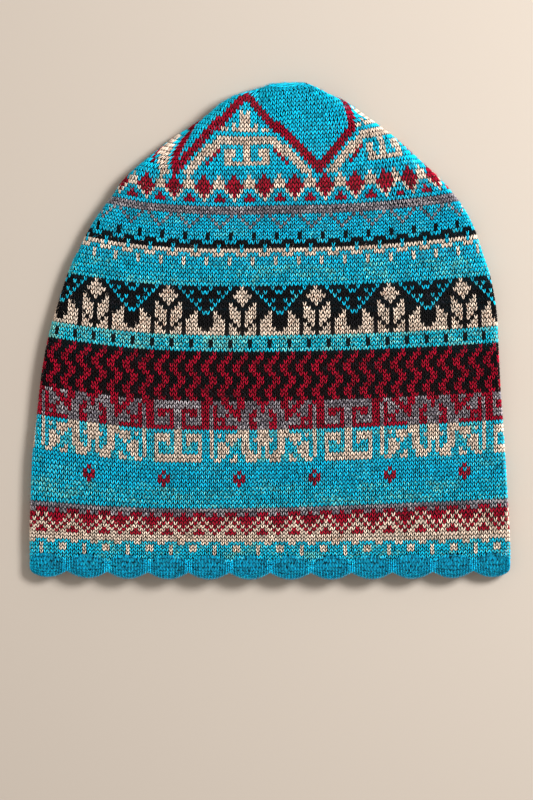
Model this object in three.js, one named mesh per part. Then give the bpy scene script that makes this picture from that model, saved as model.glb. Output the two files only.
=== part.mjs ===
// A fine-knit pull-on hat with a scalloped edging, laid flat on its back on a table.
// Millimetres, +Z up. The crown points to +Y, the brim to -Y, and the front of the hat faces up.
// The origin is on the table, under the middle of the hat.
import * as THREE from 'three';

// Driving dimensions
const brimWidth = 241; // across the brim, laid flat
const bodyLength = 236; // edging seam to the top of the crown, at the front centre
const crownHeight = 24; // height of the crown above the table, between its puffs
const wall = 2.2; // thickness of the jacquard knit
const foldRadius = 5.5; // outside radius where the side folds leave the table
const edgingDepth = 12.6; // edging seam to the scallop tips
const edgingWall = 2.9; // thickness of a scallop at its middle
const scallopCount = 24; // scallops round the whole brim
const notchDepth = 3.6; // from the scallop tips up to the notches between them
const notchPinch = 1.1; // how much thinner the edging is at a notch
const seamDip = 3; // how far the body reaches down between two scallops
const seamGap = 0.3; // clearance between the body and the edging

// How fine the facets are
const stationsPerScallop = 4; // an even number, so that each scallop has a station at its middle
const bodyRings = 22; // courses of the body that become rings of facets
const tipRings = 3; // the last of them, past the end of the hollow
const profileSteps = 240; // steps used to measure the way round a course

// The courses of the body, from the edging seam to the closed crown.
// up: place at the front centre, share of bodyLength. left, right: side folds, shares of half brimWidth.
// liftLeft, liftRight: how much further up the course lies at its side folds, share of bodyLength.
// low, high: underside and top of the course, shares of crownHeight.
const courses = [
  { up: 0.0, left: 1.0, right: 0.998, liftLeft: 0.006, liftRight: 0.006, low: 0, high: 0.5 },
  { up: 0.045, left: 1.0, right: 0.994, liftLeft: 0.012, liftRight: 0.007, low: 0, high: 0.54 },
  { up: 0.1, left: 0.996, right: 0.988, liftLeft: 0.017, liftRight: 0.009, low: 0, high: 0.57 },
  { up: 0.18, left: 0.99, right: 0.979, liftLeft: 0.021, liftRight: 0.011, low: 0, high: 0.62 },
  { up: 0.27, left: 0.97, right: 0.967, liftLeft: 0.025, liftRight: 0.013, low: 0, high: 0.67 },
  { up: 0.35, left: 0.952, right: 0.956, liftLeft: 0.028, liftRight: 0.014, low: 0, high: 0.72 },
  { up: 0.43, left: 0.923, right: 0.948, liftLeft: 0.03, liftRight: 0.015, low: 0, high: 0.77 },
  { up: 0.5, left: 0.882, right: 0.94, liftLeft: 0.033, liftRight: 0.017, low: 0, high: 0.81 },
  { up: 0.57, left: 0.834, right: 0.915, liftLeft: 0.036, liftRight: 0.019, low: 0, high: 0.85 },
  { up: 0.62, left: 0.786, right: 0.88, liftLeft: 0.037, liftRight: 0.023, low: 0, high: 0.88 },
  { up: 0.67, left: 0.732, right: 0.844, liftLeft: 0.038, liftRight: 0.027, low: 0, high: 0.91 },
  { up: 0.72, left: 0.664, right: 0.79, liftLeft: 0.036, liftRight: 0.026, low: 0, high: 0.94 },
  { up: 0.77, left: 0.602, right: 0.712, liftLeft: 0.03, liftRight: 0.024, low: 0, high: 0.97 },
  { up: 0.817, left: 0.506, right: 0.618, liftLeft: 0.026, liftRight: 0.023, low: 0, high: 1.0 },
  { up: 0.863, left: 0.402, right: 0.515, liftLeft: 0.023, liftRight: 0.023, low: 0, high: 1.0 },
  { up: 0.906, left: 0.278, right: 0.411, liftLeft: 0.02, liftRight: 0.02, low: 0.02, high: 0.95 },
  { up: 0.94, left: 0.203, right: 0.325, liftLeft: 0.018, liftRight: 0.018, low: 0.06, high: 0.86 },
  { up: 0.964, left: 0.128, right: 0.235, liftLeft: 0.014, liftRight: 0.014, low: 0.12, high: 0.76 },
  { up: 0.98, left: 0.052, right: 0.185, liftLeft: 0.01, liftRight: 0.01, low: 0.2, high: 0.66 },
  { up: 0.99, left: 0.008, right: 0.15, liftLeft: 0.006, liftRight: 0.006, low: 0.28, high: 0.57 },
];
const sideFullness = 2.8; // a higher power gives a flatter top and steeper sides
const liftPower = 2.5; // how late across the width a course turns up
const backLift = 0.5; // how much further the back reaches than the side folds, share of the lift
const foldShare = 0.45; // a side fold takes no more than this share of its course's height
const tipShare = 0.9; // nor more than this share of its half width, at the gathered tip

// The dents and puffs of the front. Each runs between two places, given as shares of half brimWidth from the
// middle line and of bodyLength from the seam. reach and rise are shares of bodyLength and of crownHeight.
const folds = [
  { name: 'crown crease', x1: -0.07, y1: 0.99, x2: 0.05, y2: 0.9, reach: 0.02, rise: -0.13 },
  { name: 'crown puff', x1: 0.13, y1: 0.95, x2: 0.2, y2: 0.87, reach: 0.05, rise: 0.08 },
  { name: 'crease right of the puff', x1: 0.37, y1: 0.95, x2: 0.25, y2: 0.83, reach: 0.018, rise: -0.06 },
  { name: 'left shoulder tuck', x1: -0.36, y1: 0.9, x2: -0.62, y2: 0.68, reach: 0.018, rise: -0.09 },
  { name: 'swell beside the tuck', x1: -0.25, y1: 0.88, x2: -0.48, y2: 0.66, reach: 0.03, rise: 0.04 },
  { name: 'right shoulder tuck', x1: 0.62, y1: 0.84, x2: 0.7, y2: 0.7, reach: 0.02, rise: -0.04 },
  { name: 'hollow over the brim', x1: -0.25, y1: 0.14, x2: 0.35, y2: 0.12, reach: 0.07, rise: -0.03 },
];
const foldsFrom = -0.2; // upward lean of the surface where the folds start to show
const foldsFull = 0.35; // and where they have their full depth

const halfBrim = brimWidth / 2;
const stations = scallopCount * stationsPerScallop; // points round every ring of the hat

// A course between two rows of the table. Each column follows a smooth curve through its rows.
function courseAt(place) {
  const row = Math.min(Math.floor(place), courses.length - 2);
  const t = place - row;
  const before = courses[Math.max(row - 1, 0)];
  const from = courses[row];
  const to = courses[row + 1];
  const after = courses[Math.min(row + 2, courses.length - 1)];
  const course = {};
  for (const column of Object.keys(from)) {
    const leaving = (to[column] - before[column]) / 2;
    const arriving = (after[column] - from[column]) / 2;
    const change = to[column] - from[column];
    const square = 3 * change - 2 * leaving - arriving;
    const cube = leaving + arriving - 2 * change;
    course[column] = from[column] + leaving * t + square * t * t + cube * t * t * t;
  }
  return course;
}

function outlineOf(course) {
  const leftEdge = -course.left * halfBrim;
  const rightEdge = course.right * halfBrim;
  const half = (rightEdge - leftEdge) / 2;
  const low = Math.max(course.low, 0) * crownHeight;
  const high = course.high * crownHeight;
  return {
    middle: (leftEdge + rightEdge) / 2,
    half,
    y: course.up * bodyLength,
    liftLeft: course.liftLeft * bodyLength,
    liftRight: course.liftRight * bodyLength,
    low,
    high,
    radius: Math.min(foldRadius, (high - low) * foldShare, half * tipShare),
  };
}

// A point of a course. across runs from -1 at the left fold to 1 at the right one, on the front or the back.
function coursePoint(outline, across, isFront) {
  const share = Math.min(Math.abs(across), 1);
  const lift = across < 0 ? outline.liftLeft : outline.liftRight;
  const turnUp = share ** liftPower;
  const side = outline.low + outline.radius;
  let z;
  if (isFront) {
    z = side + (outline.high - side) * Math.sqrt(1 - share ** sideFullness);
  } else {
    const past = Math.max(0, share * outline.half - (outline.half - outline.radius)) / outline.radius;
    z = side - outline.radius * Math.sqrt(Math.max(0, 1 - past * past));
  }
  const y = outline.y + lift * (isFront ? turnUp : 1 + backLift * (1 - turnUp));
  return new THREE.Vector3(outline.middle + across * outline.half, y, z);
}

// Points spaced evenly round a course, from the back centre by way of the right fold.
function evenRing(outline) {
  const path = [];
  for (let i = 0; i <= profileSteps; i += 1) {
    const turn = (2 * Math.PI * i) / profileSteps;
    path.push(coursePoint(outline, Math.sin(turn), Math.cos(turn) < 0));
  }
  const measured = [0];
  for (let i = 1; i < path.length; i += 1) {
    measured.push(measured[i - 1] + path[i].distanceTo(path[i - 1]));
  }
  const total = measured[measured.length - 1];
  const ring = [];
  let at = 1;
  for (let i = 0; i < stations; i += 1) {
    const wanted = (total * i) / stations;
    while (measured[at] < wanted) {
      at += 1;
    }
    const part = (wanted - measured[at - 1]) / (measured[at] - measured[at - 1]);
    ring.push(path[at - 1].clone().lerp(path[at], part));
  }
  return ring;
}

// Outward normals of a grid of rings.
function ringNormals(rings) {
  return rings.map((ring, row) => {
    const below = rings[Math.max(row - 1, 0)];
    const above = rings[Math.min(row + 1, rings.length - 1)];
    return ring.map((point, i) => {
      const next = ring[(i + 1) % ring.length];
      const last = ring[(i + ring.length - 1) % ring.length];
      const round = next.clone().sub(last);
      const up = above[i].clone().sub(below[i]);
      return up.cross(round).normalize();
    });
  });
}

// How far the folds raise or sink the front at a place in plan.
function foldRise(point) {
  let rise = 0;
  for (const fold of folds) {
    const start = new THREE.Vector2(fold.x1 * halfBrim, fold.y1 * bodyLength);
    const end = new THREE.Vector2(fold.x2 * halfBrim, fold.y2 * bodyLength);
    const line = end.clone().sub(start);
    const place = new THREE.Vector2(point.x, point.y).sub(start);
    const along = THREE.MathUtils.clamp(place.dot(line) / line.lengthSq(), 0, 1);
    const away = place.sub(line.multiplyScalar(along)).length() / (fold.reach * bodyLength);
    rise += fold.rise * crownHeight * Math.exp(-away * away);
  }
  return rise;
}

function addFolds(rings) {
  const normals = ringNormals(rings);
  return rings.map((ring, row) =>
    ring.map((point, i) => {
      const normal = normals[row][i];
      const onFront = THREE.MathUtils.smoothstep(normal.z, foldsFrom, foldsFull);
      return point.clone().addScaledVector(normal, foldRise(point) * onFront);
    })
  );
}

function insideOf(rings, thickness) {
  const normals = ringNormals(rings);
  return rings.map((ring, row) => ring.map((point, i) => point.clone().addScaledVector(normals[row][i], -thickness)));
}

// How full the scallops are at a station: 1 at the middle of a scallop and 0 at a notch. Station 0 is a notch.
function archAt(station) {
  const share = (2 * station) / stationsPerScallop + 1;
  const fromMiddle = share - 2 * Math.round(share / 2);
  return 1 - fromMiddle * fromMiddle;
}

// The seam dips between the scallops, on the body and on the edging alike
function dipped(ring) {
  return ring.map((point, i) => point.clone().setY(point.y - seamDip * (1 - archAt(i))));
}

// A closed mesh from rings of points: neighbouring rings are joined, and a single point closes an end.
// Each four-sided facet is split along its shorter diagonal, so that two edges that follow each other match.
function meshOfRings(rings, closeRound) {
  const points = rings.flat();
  const firsts = [];
  let first = 0;
  for (const ring of rings) {
    firsts.push(first);
    first += ring.length;
  }
  const index = [];
  const pairs = closeRound ? rings.length : rings.length - 1;
  for (let row = 0; row < pairs; row += 1) {
    const next = (row + 1) % rings.length;
    const count = Math.max(rings[row].length, rings[next].length);
    for (let i = 0; i < count; i += 1) {
      const j = (i + 1) % count;
      const a = firsts[row] + (i % rings[row].length);
      const b = firsts[row] + (j % rings[row].length);
      const c = firsts[next] + (i % rings[next].length);
      const d = firsts[next] + (j % rings[next].length);
      if (a === b) {
        index.push(a, c, d);
      } else if (c === d) {
        index.push(b, a, c);
      } else if (points[a].distanceTo(points[d]) < points[b].distanceTo(points[c])) {
        index.push(b, a, d, a, c, d);
      } else {
        index.push(b, a, c, b, c, d);
      }
    }
  }
  const geometry = new THREE.BufferGeometry().setFromPoints(points);
  geometry.setIndex(index);
  geometry.computeVertexNormals();
  return geometry;
}

function centreOf(ring) {
  const sum = ring.reduce((total, point) => total.add(point), new THREE.Vector3());
  return sum.divideScalar(ring.length);
}

function yarn(colour) {
  return new THREE.MeshStandardMaterial({ color: colour, roughness: 0.95, metalness: 0 });
}

// The patterned body: one wall of knit, open at the brim and gathered shut at the crown
function knitBody() {
  const base = [];
  for (let i = 0; i < bodyRings; i += 1) {
    const place = (i * (courses.length - 1)) / (bodyRings - 1);
    base.push(evenRing(outlineOf(courseAt(place))));
  }
  const outer = addFolds(base);
  const inner = insideOf(outer, wall).slice(0, bodyRings - tipRings);
  outer[0] = dipped(outer[0]);
  inner[0] = dipped(inner[0]);
  const tip = centreOf(outer[outer.length - 1]);
  const hollowEnd = centreOf(inner[inner.length - 1]);
  const rings = [[hollowEnd], ...inner.reverse(), ...outer, [tip]];
  const mesh = new THREE.Mesh(meshOfRings(rings, false), yarn(0x1592b4));
  mesh.name = 'knit_body';
  return mesh;
}

// The section of the edging, from the seam to the tip and back inside.
// down: share of the depth at that station. out: share of the thickness, from the middle of the wall.
const edgingSection = [
  { down: 0, out: 0.5 },
  { down: 0.3, out: 0.5 },
  { down: 0.75, out: 0.46 },
  { down: 1, out: 0 },
  { down: 0.75, out: -0.46 },
  { down: 0.3, out: -0.5 },
  { down: 0, out: -0.5 },
];

// The edging: a rolled band of plain knit, drawn in at each notch so that it puffs into scallops
function scallopEdging() {
  const level = outlineOf(courses[0]);
  const seam = evenRing(level);
  const below = evenRing({ ...level, y: level.y - edgingDepth });
  const normals = ringNormals([below, seam])[1];
  const rings = edgingSection.map((corner) =>
    dipped(seam).map((point, i) => {
      const hollow = 1 - archAt(i);
      const depth = edgingDepth - seamGap - (notchDepth + seamDip) * hollow;
      const thickness = corner.down === 0 ? wall : edgingWall - notchPinch * hollow;
      const place = point.clone().addScaledVector(normals[i], corner.out * thickness - wall / 2);
      place.y -= seamGap + corner.down * depth;
      place.z = Math.max(place.z, 0);
      return place;
    })
  );
  const mesh = new THREE.Mesh(meshOfRings(rings.reverse(), true), yarn(0x0e93bd));
  mesh.name = 'scalloped_edging';
  return mesh;
}

const hat = new THREE.Group();
hat.add(knitBody(), scallopEdging());

// The origin goes under the middle of the finished hat
const extent = new THREE.Box3().setFromObject(hat);
const middle = extent.getCenter(new THREE.Vector3());
hat.position.set(-middle.x, -middle.y, -extent.min.z);

export default hat;
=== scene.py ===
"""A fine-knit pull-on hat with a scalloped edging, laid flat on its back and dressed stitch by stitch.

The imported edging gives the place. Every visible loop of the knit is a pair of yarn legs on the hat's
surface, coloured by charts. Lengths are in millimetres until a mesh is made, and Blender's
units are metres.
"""

import logging
import math
from dataclasses import dataclass, field
from enum import Enum

import bpy
import numpy as np
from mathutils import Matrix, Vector


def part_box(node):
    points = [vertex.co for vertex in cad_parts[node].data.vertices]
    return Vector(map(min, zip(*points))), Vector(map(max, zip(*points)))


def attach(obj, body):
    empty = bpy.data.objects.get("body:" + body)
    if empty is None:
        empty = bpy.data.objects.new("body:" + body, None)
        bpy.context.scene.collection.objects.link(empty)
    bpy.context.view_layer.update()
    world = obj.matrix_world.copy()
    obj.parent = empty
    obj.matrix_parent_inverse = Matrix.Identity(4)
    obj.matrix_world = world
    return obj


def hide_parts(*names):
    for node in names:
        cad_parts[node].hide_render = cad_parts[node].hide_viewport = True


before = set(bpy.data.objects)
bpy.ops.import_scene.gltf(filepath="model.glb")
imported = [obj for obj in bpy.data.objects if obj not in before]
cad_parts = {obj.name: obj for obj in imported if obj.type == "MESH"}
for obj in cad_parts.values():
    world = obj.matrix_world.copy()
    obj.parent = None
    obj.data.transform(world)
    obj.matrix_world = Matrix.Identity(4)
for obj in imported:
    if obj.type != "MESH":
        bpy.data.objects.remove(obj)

MM = 0.001
FAR_AWAY = 1e6
TONE_RANGE = (0.6, 1.4)
LOG = logging.getLogger("hat")


class Yarn(Enum):
    """The yarns of the hat. The value is the slot that a yarn's material takes on a knitted piece."""

    TURQUOISE = 0
    MARLED = 1
    MINT = 2
    BEIGE = 3
    BLACK = 4
    WINE = 5
    GREY = 6
    PLAIN = 7
    EDGING = 8


class SlotName(Enum):
    """The record's material slots."""

    JACQUARD = "jacquard_knit"
    PLAIN = "plain_knit"


@dataclass(frozen=True)
class Finish:
    """How one yarn looks.

    Args:
        name: name of its material.
        colour: red, green and blue of the dyed fibre, 0 to 255.
        fleck: the same for the paler or darker fibres spun in with it.
        fleck_share: share of its length where those fibres show.
        roughness: roughness of the fibre.
        sheen: weight of the soft rim of loose fibre.
    """

    name: str
    colour: tuple[int, int, int]
    fleck: tuple[int, int, int]
    fleck_share: float
    roughness: float = 0.85
    sheen: float = 0.03


FINISHES: dict[Yarn, Finish] = {
    Yarn.TURQUOISE: Finish("turquoise alpaca", (0, 202, 240), (96, 230, 238), 0.22),
    Yarn.MARLED: Finish("marled turquoise alpaca", (0, 204, 238), (128, 232, 224), 0.32),
    Yarn.MINT: Finish("mint marl alpaca", (0, 204, 232), (150, 238, 228), 0.48),
    Yarn.BEIGE: Finish("beige alpaca", (255, 234, 214), (214, 178, 154), 0.25),
    Yarn.BLACK: Finish("black alpaca", (9, 8, 11), (40, 36, 44), 0.2),
    Yarn.WINE: Finish("wine red alpaca", (184, 4, 46), (112, 0, 26), 0.3),
    Yarn.GREY: Finish("grey marl alpaca", (122, 116, 126), (204, 196, 200), 0.46),
    Yarn.PLAIN: Finish("crown turquoise alpaca", (0, 218, 255), (50, 236, 255), 0.2),
    Yarn.EDGING: Finish("edging turquoise alpaca", (0, 164, 202), (20, 190, 216), 0.2),
}


@dataclass(frozen=True)
class Band:
    """One patterned band of the chart.

    Args:
        top: its highest course.
        start: wale of the first character of each line.
        repeat: wales from one repeat to the next.
        lines: the courses from the top down. A wale past the end of a line is ground.
        yarns: the yarn of each character. The dot is the ground.
    """

    top: int
    start: int
    repeat: int
    lines: tuple[str, ...]
    yarns: dict[str, Yarn]

    def yarn_at(self, course: int, wale: int) -> Yarn | None:
        """The yarn of one stitch, or None where the course is outside the band."""
        line = self.top - course
        if not 0 <= line < len(self.lines):
            return None
        place = (wale - self.start) % self.repeat
        text = self.lines[line]
        return self.yarns[text[place] if place < len(text) else "."]


FRET_BLOCK = {
    29: ".....##.....",
    28: "####.##.####",
    27: "####.##.####",
    26: "#..#.##.#..#",
    25: "#....##....#",
    24: "#....##....#",
    23: "############",
    22: "############",
}
FRET_MEDALLION = {
    29: "#......###..###..###......#",
    28: "#.#.######..###..######.#.#",
    27: "#...###.##.#####.##.###...#",
    26: "#.##.#..##..###..##..#.##.#",
    25: "#.###...##..#.#..##...###.#",
    24: "#.###...###.#.#.###...###.#",
    23: "#.##..#..####.####..#..##.#",
    22: ".##..##..###...###..##..##.",
}
FRET_ORDER = (29, 28, 27, 26, 25, 24, 23, 22)
FRET_TURNED = (22, 23, 24, 26, 27, 28, 29)


def fret_lines(order: tuple[int, ...]) -> tuple[str, ...]:
    """The fret's courses, a medallion and a block side by side, in the order given."""
    return tuple(FRET_MEDALLION[course] + ".." + FRET_BLOCK[course] + ".." for course in order)


GROUND_YARNS = (
    (1, Yarn.MARLED),
    (9, Yarn.BEIGE),
    (10, Yarn.GREY),
    (16, Yarn.MARLED),
    (21, Yarn.TURQUOISE),
    (29, Yarn.MARLED),
    (36, Yarn.WINE),
    (48, Yarn.BLACK),
    (52, Yarn.MINT),
    (64, Yarn.BLACK),
    (69, Yarn.MARLED),
    (82, Yarn.TURQUOISE),
    (84, Yarn.GREY),
    (92, Yarn.TURQUOISE),
    (200, Yarn.PLAIN),
)

BANDS = (
    Band(
        1,
        -3,
        11,
        ("..##....##.", "#....##....", "#....##....", "#.........."),
        {".": Yarn.MARLED, "#": Yarn.BEIGE},
    ),
    Band(9, -2, 8, ("##..#..#",), {".": Yarn.GREY, "#": Yarn.WINE}),
    Band(
        8,
        -2,
        8,
        ("#.#####.", ".#.###.#", "..#.#.#.", "#..#.#..", "##..#..#"),
        {".": Yarn.BEIGE, "#": Yarn.WINE},
    ),
    Band(19, -10, 19, ("..#..", ".#.#.", ".###.", "..#.."), {".": Yarn.TURQUOISE, "#": Yarn.WINE}),
    Band(29, -15, 43, fret_lines(FRET_ORDER), {".": Yarn.MARLED, "#": Yarn.BEIGE}),
    Band(36, -15, 43, fret_lines(FRET_TURNED), {".": Yarn.WINE, "#": Yarn.GREY}),
    Band(
        48,
        0,
        4,
        ("..#.", ".##.", "##..", "#..#", "#..#", "##..", ".##.", ".##.", "##..", "#..#", "#..#", "##.."),
        {".": Yarn.BLACK, "#": Yarn.WINE},
    ),
    Band(51, 0, 5, ("#....", "#...."), {".": Yarn.MINT, "#": Yarn.BLACK}),
    Band(
        64,
        -16,
        19,
        (
            ".c....c..b..c....c.",
            "c..c.c..bbb..c.c..c",
            "....c..bbbbb..c....",
            ".c.c....bbb....c.c.",
            "..c...b..b..b...c..",
            ".c....bb...bb....c.",
            "c.b...bbb.bbb...b.c",
            "..bb..bbb.bbb..bb..",
            "..bbb..bb.bb..bbb..",
            "..bbb.b.b.b.b.bbb..",
            ".bbbb.bb...bb.bbbb.",
            "bbbbb.bbb.bbb.bbbbb",
        ),
        {".": Yarn.BLACK, "b": Yarn.BEIGE, "c": Yarn.TURQUOISE},
    ),
    Band(
        77,
        -1,
        6,
        ("...#..", "...#..", "##...#", ".#####", ".bbbbb", "bb...b", "...b..", "...b.."),
        {".": Yarn.TURQUOISE, "#": Yarn.BLACK, "b": Yarn.BEIGE},
    ),
    Band(
        82,
        -1,
        8,
        (".#.....#", "..#...#.", "...#.#..", "....#..."),
        {".": Yarn.TURQUOISE, "#": Yarn.GREY},
    ),
    Band(
        91,
        -1,
        8,
        ("w...b...", "ww.bbb.w", "wwwbbbww", "wwb...bw", "wb..w..b", "b..www.."),
        {".": Yarn.TURQUOISE, "w": Yarn.WINE, "b": Yarn.BEIGE},
    ),
)


@dataclass(frozen=True)
class CrownChart:
    """The chevrons at the crown, with the sprig, hooks and dots inside them.

    Args:
        first, full, last: its lowest course, the one where the chevrons meet, and its highest.
        centre, repeat: wale at the middle of one chevron, and wales from one to the next.
        slope: wales by which a chevron's line moves in with each course.
        line_half: half the width of a line.
        inner_gap: wales from the wine line to the beige one inside it.
        middle_half: half the width left free of the beige line at the middle.
        roof, roof_half: courses of the beige bar, and half its width.
        roof_end: wales past the bar's end where the drawings inside stop.
        sprig_top, sprig, hooks_top, hooks: highest course of each drawing, and its lines from the top down.
        dots, dots_away: lowest and highest course of the dots, and how far out the highest one lies.
    """

    first: int = 92
    full: int = 93
    last: int = 110
    centre: float = -5.0
    repeat: int = 38
    slope: float = 1.1
    line_half: float = 1.65
    inner_gap: float = 4.6
    middle_half: float = 1.0
    roof: tuple[int, int] = (99, 100)
    roof_half: float = 8.0
    roof_end: float = 3.0
    dots: tuple[int, int] = (94, 97)
    dots_away: float = 7.5
    sprig_top: int = 106
    sprig: tuple[str, ...] = (
        "......#.#......",
        "......###......",
        "......###......",
        "....#.###.#....",
        ".##.#######.##.",
    )
    hooks_top: int = 98
    hooks: tuple[str, ...] = (
        ".......##.......",
        "..###..##..###..",
        "..###..##..###..",
        "..##...##...##..",
        "..############..",
    )

    def yarn_at(self, course: int, wale: int) -> Yarn | None:
        """The yarn of one stitch of the crown.

        Args:
            course: the stitch's course, counted up from the edging seam.
            wale: the stitch's wale, counted from the front centre.

        Returns:
            the yarn that is drawn there, or None where it is ground.
        """
        if not self.first <= course <= self.last:
            return None
        offset = wale + 0.5 - self.centre
        offset -= self.repeat * round(offset / self.repeat)
        away = abs(offset)
        line = self.repeat / 2 - (course - self.full) * self.slope
        if abs(away - line) < self.line_half:
            return Yarn.WINE
        inner = abs(away - line + self.inner_gap) < self.line_half and away > self.middle_half
        if inner and course <= self.roof[1]:
            return Yarn.BEIGE
        if self.roof[0] <= course <= self.roof[1] and away < self.roof_half:
            return Yarn.BEIGE
        if away > self.roof_half + self.roof_end:
            return None
        for top, lines in ((self.sprig_top, self.sprig), (self.hooks_top, self.hooks)):
            at = top - course
            if 0 <= at < len(lines):
                place = int(math.floor(offset + len(lines[at]) / 2))
                if 0 <= place < len(lines[at]) and lines[at][place] == "#":
                    return Yarn.BEIGE
        dot = self.dots_away + self.dots[1] - course
        if self.dots[0] <= course <= self.dots[1] and abs(away - dot) < 0.5:
            return Yarn.WINE
        return None


def yarn_of(course: int, wale: int) -> Yarn:
    """The yarn of a stitch of the body.

    Args:
        course: the stitch's course, counted up from the edging seam.
        wale: the stitch's wale, counted from the front centre.

    Returns:
        the yarn that shows there.
    """
    drawn = CrownChart().yarn_at(course, wale)
    for band in BANDS:
        drawn = drawn or band.yarn_at(course, wale)
    if drawn:
        return drawn
    return next(yarn for top, yarn in GROUND_YARNS if course <= top)


@dataclass(frozen=True)
class Course:
    """One row of the hat's form, as in the part's source.

    Args:
        up: its height above the seam, as a share of the length.
        left, right: how far it reaches each way, as shares of half the brim.
        lift_left, lift_right: how far it rises towards each side, as shares of the length.
        low, high: its lowest and highest place over the table, as shares of the crown's height.
    """

    up: float
    left: float
    right: float
    lift_left: float
    lift_right: float
    low: float
    high: float


FORM = (
    Course(0.0, 1.0, 0.998, 0.006, 0.006, 0, 0.5),
    Course(0.045, 1.0, 0.994, 0.012, 0.007, 0, 0.54),
    Course(0.1, 0.996, 0.988, 0.017, 0.009, 0, 0.57),
    Course(0.18, 0.99, 0.979, 0.021, 0.011, 0, 0.62),
    Course(0.27, 0.97, 0.967, 0.025, 0.013, 0, 0.67),
    Course(0.35, 0.952, 0.956, 0.028, 0.014, 0, 0.72),
    Course(0.43, 0.923, 0.948, 0.03, 0.015, 0, 0.77),
    Course(0.5, 0.882, 0.94, 0.033, 0.017, 0, 0.81),
    Course(0.57, 0.834, 0.915, 0.036, 0.019, 0, 0.85),
    Course(0.62, 0.786, 0.88, 0.037, 0.023, 0, 0.88),
    Course(0.67, 0.732, 0.844, 0.038, 0.027, 0, 0.91),
    Course(0.72, 0.664, 0.79, 0.036, 0.026, 0, 0.94),
    Course(0.77, 0.602, 0.712, 0.03, 0.024, 0, 0.97),
    Course(0.817, 0.506, 0.618, 0.026, 0.023, 0, 1.0),
    Course(0.863, 0.402, 0.515, 0.023, 0.023, 0, 1.0),
    Course(0.906, 0.278, 0.411, 0.02, 0.02, 0.02, 0.95),
    Course(0.94, 0.203, 0.325, 0.018, 0.018, 0.06, 0.86),
    Course(0.964, 0.128, 0.235, 0.014, 0.014, 0.12, 0.76),
    Course(0.98, 0.052, 0.185, 0.01, 0.01, 0.2, 0.66),
    Course(0.99, 0.008, 0.15, 0.006, 0.006, 0.28, 0.57),
)


@dataclass(frozen=True)
class Fold:
    """A dent or puff of the front, along a line between two places.

    Args:
        x1, y1, x2, y2: the two places, as shares of half the brim and of the length.
        reach: how far it spreads from the line, as a share of the length.
        rise: how far it rises, as a share of the crown's height, below 0 where it sinks.
    """

    x1: float
    y1: float
    x2: float
    y2: float
    reach: float
    rise: float


FOLDS = (
    Fold(-0.07, 0.99, 0.05, 0.9, 0.02, -0.13),
    Fold(0.13, 0.95, 0.2, 0.87, 0.05, 0.08),
    Fold(0.37, 0.95, 0.25, 0.83, 0.018, -0.06),
    Fold(-0.36, 0.9, -0.62, 0.68, 0.018, -0.09),
    Fold(-0.25, 0.88, -0.48, 0.66, 0.03, 0.04),
    Fold(0.62, 0.84, 0.7, 0.7, 0.02, -0.04),
    Fold(-0.25, 0.14, 0.35, 0.12, 0.07, -0.03),
)


def smoothstep(value: np.ndarray, low: float, high: float) -> np.ndarray:
    """0 below low, 1 above high, and a smooth rise between."""
    share = np.clip((value - low) / (high - low), 0, 1)
    return share * share * (3 - 2 * share)


def unit(vectors: np.ndarray) -> np.ndarray:
    """The vectors at length 1, along the last axis."""
    return vectors / np.maximum(np.linalg.norm(vectors, axis=-1, keepdims=True), 1e-9)


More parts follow.
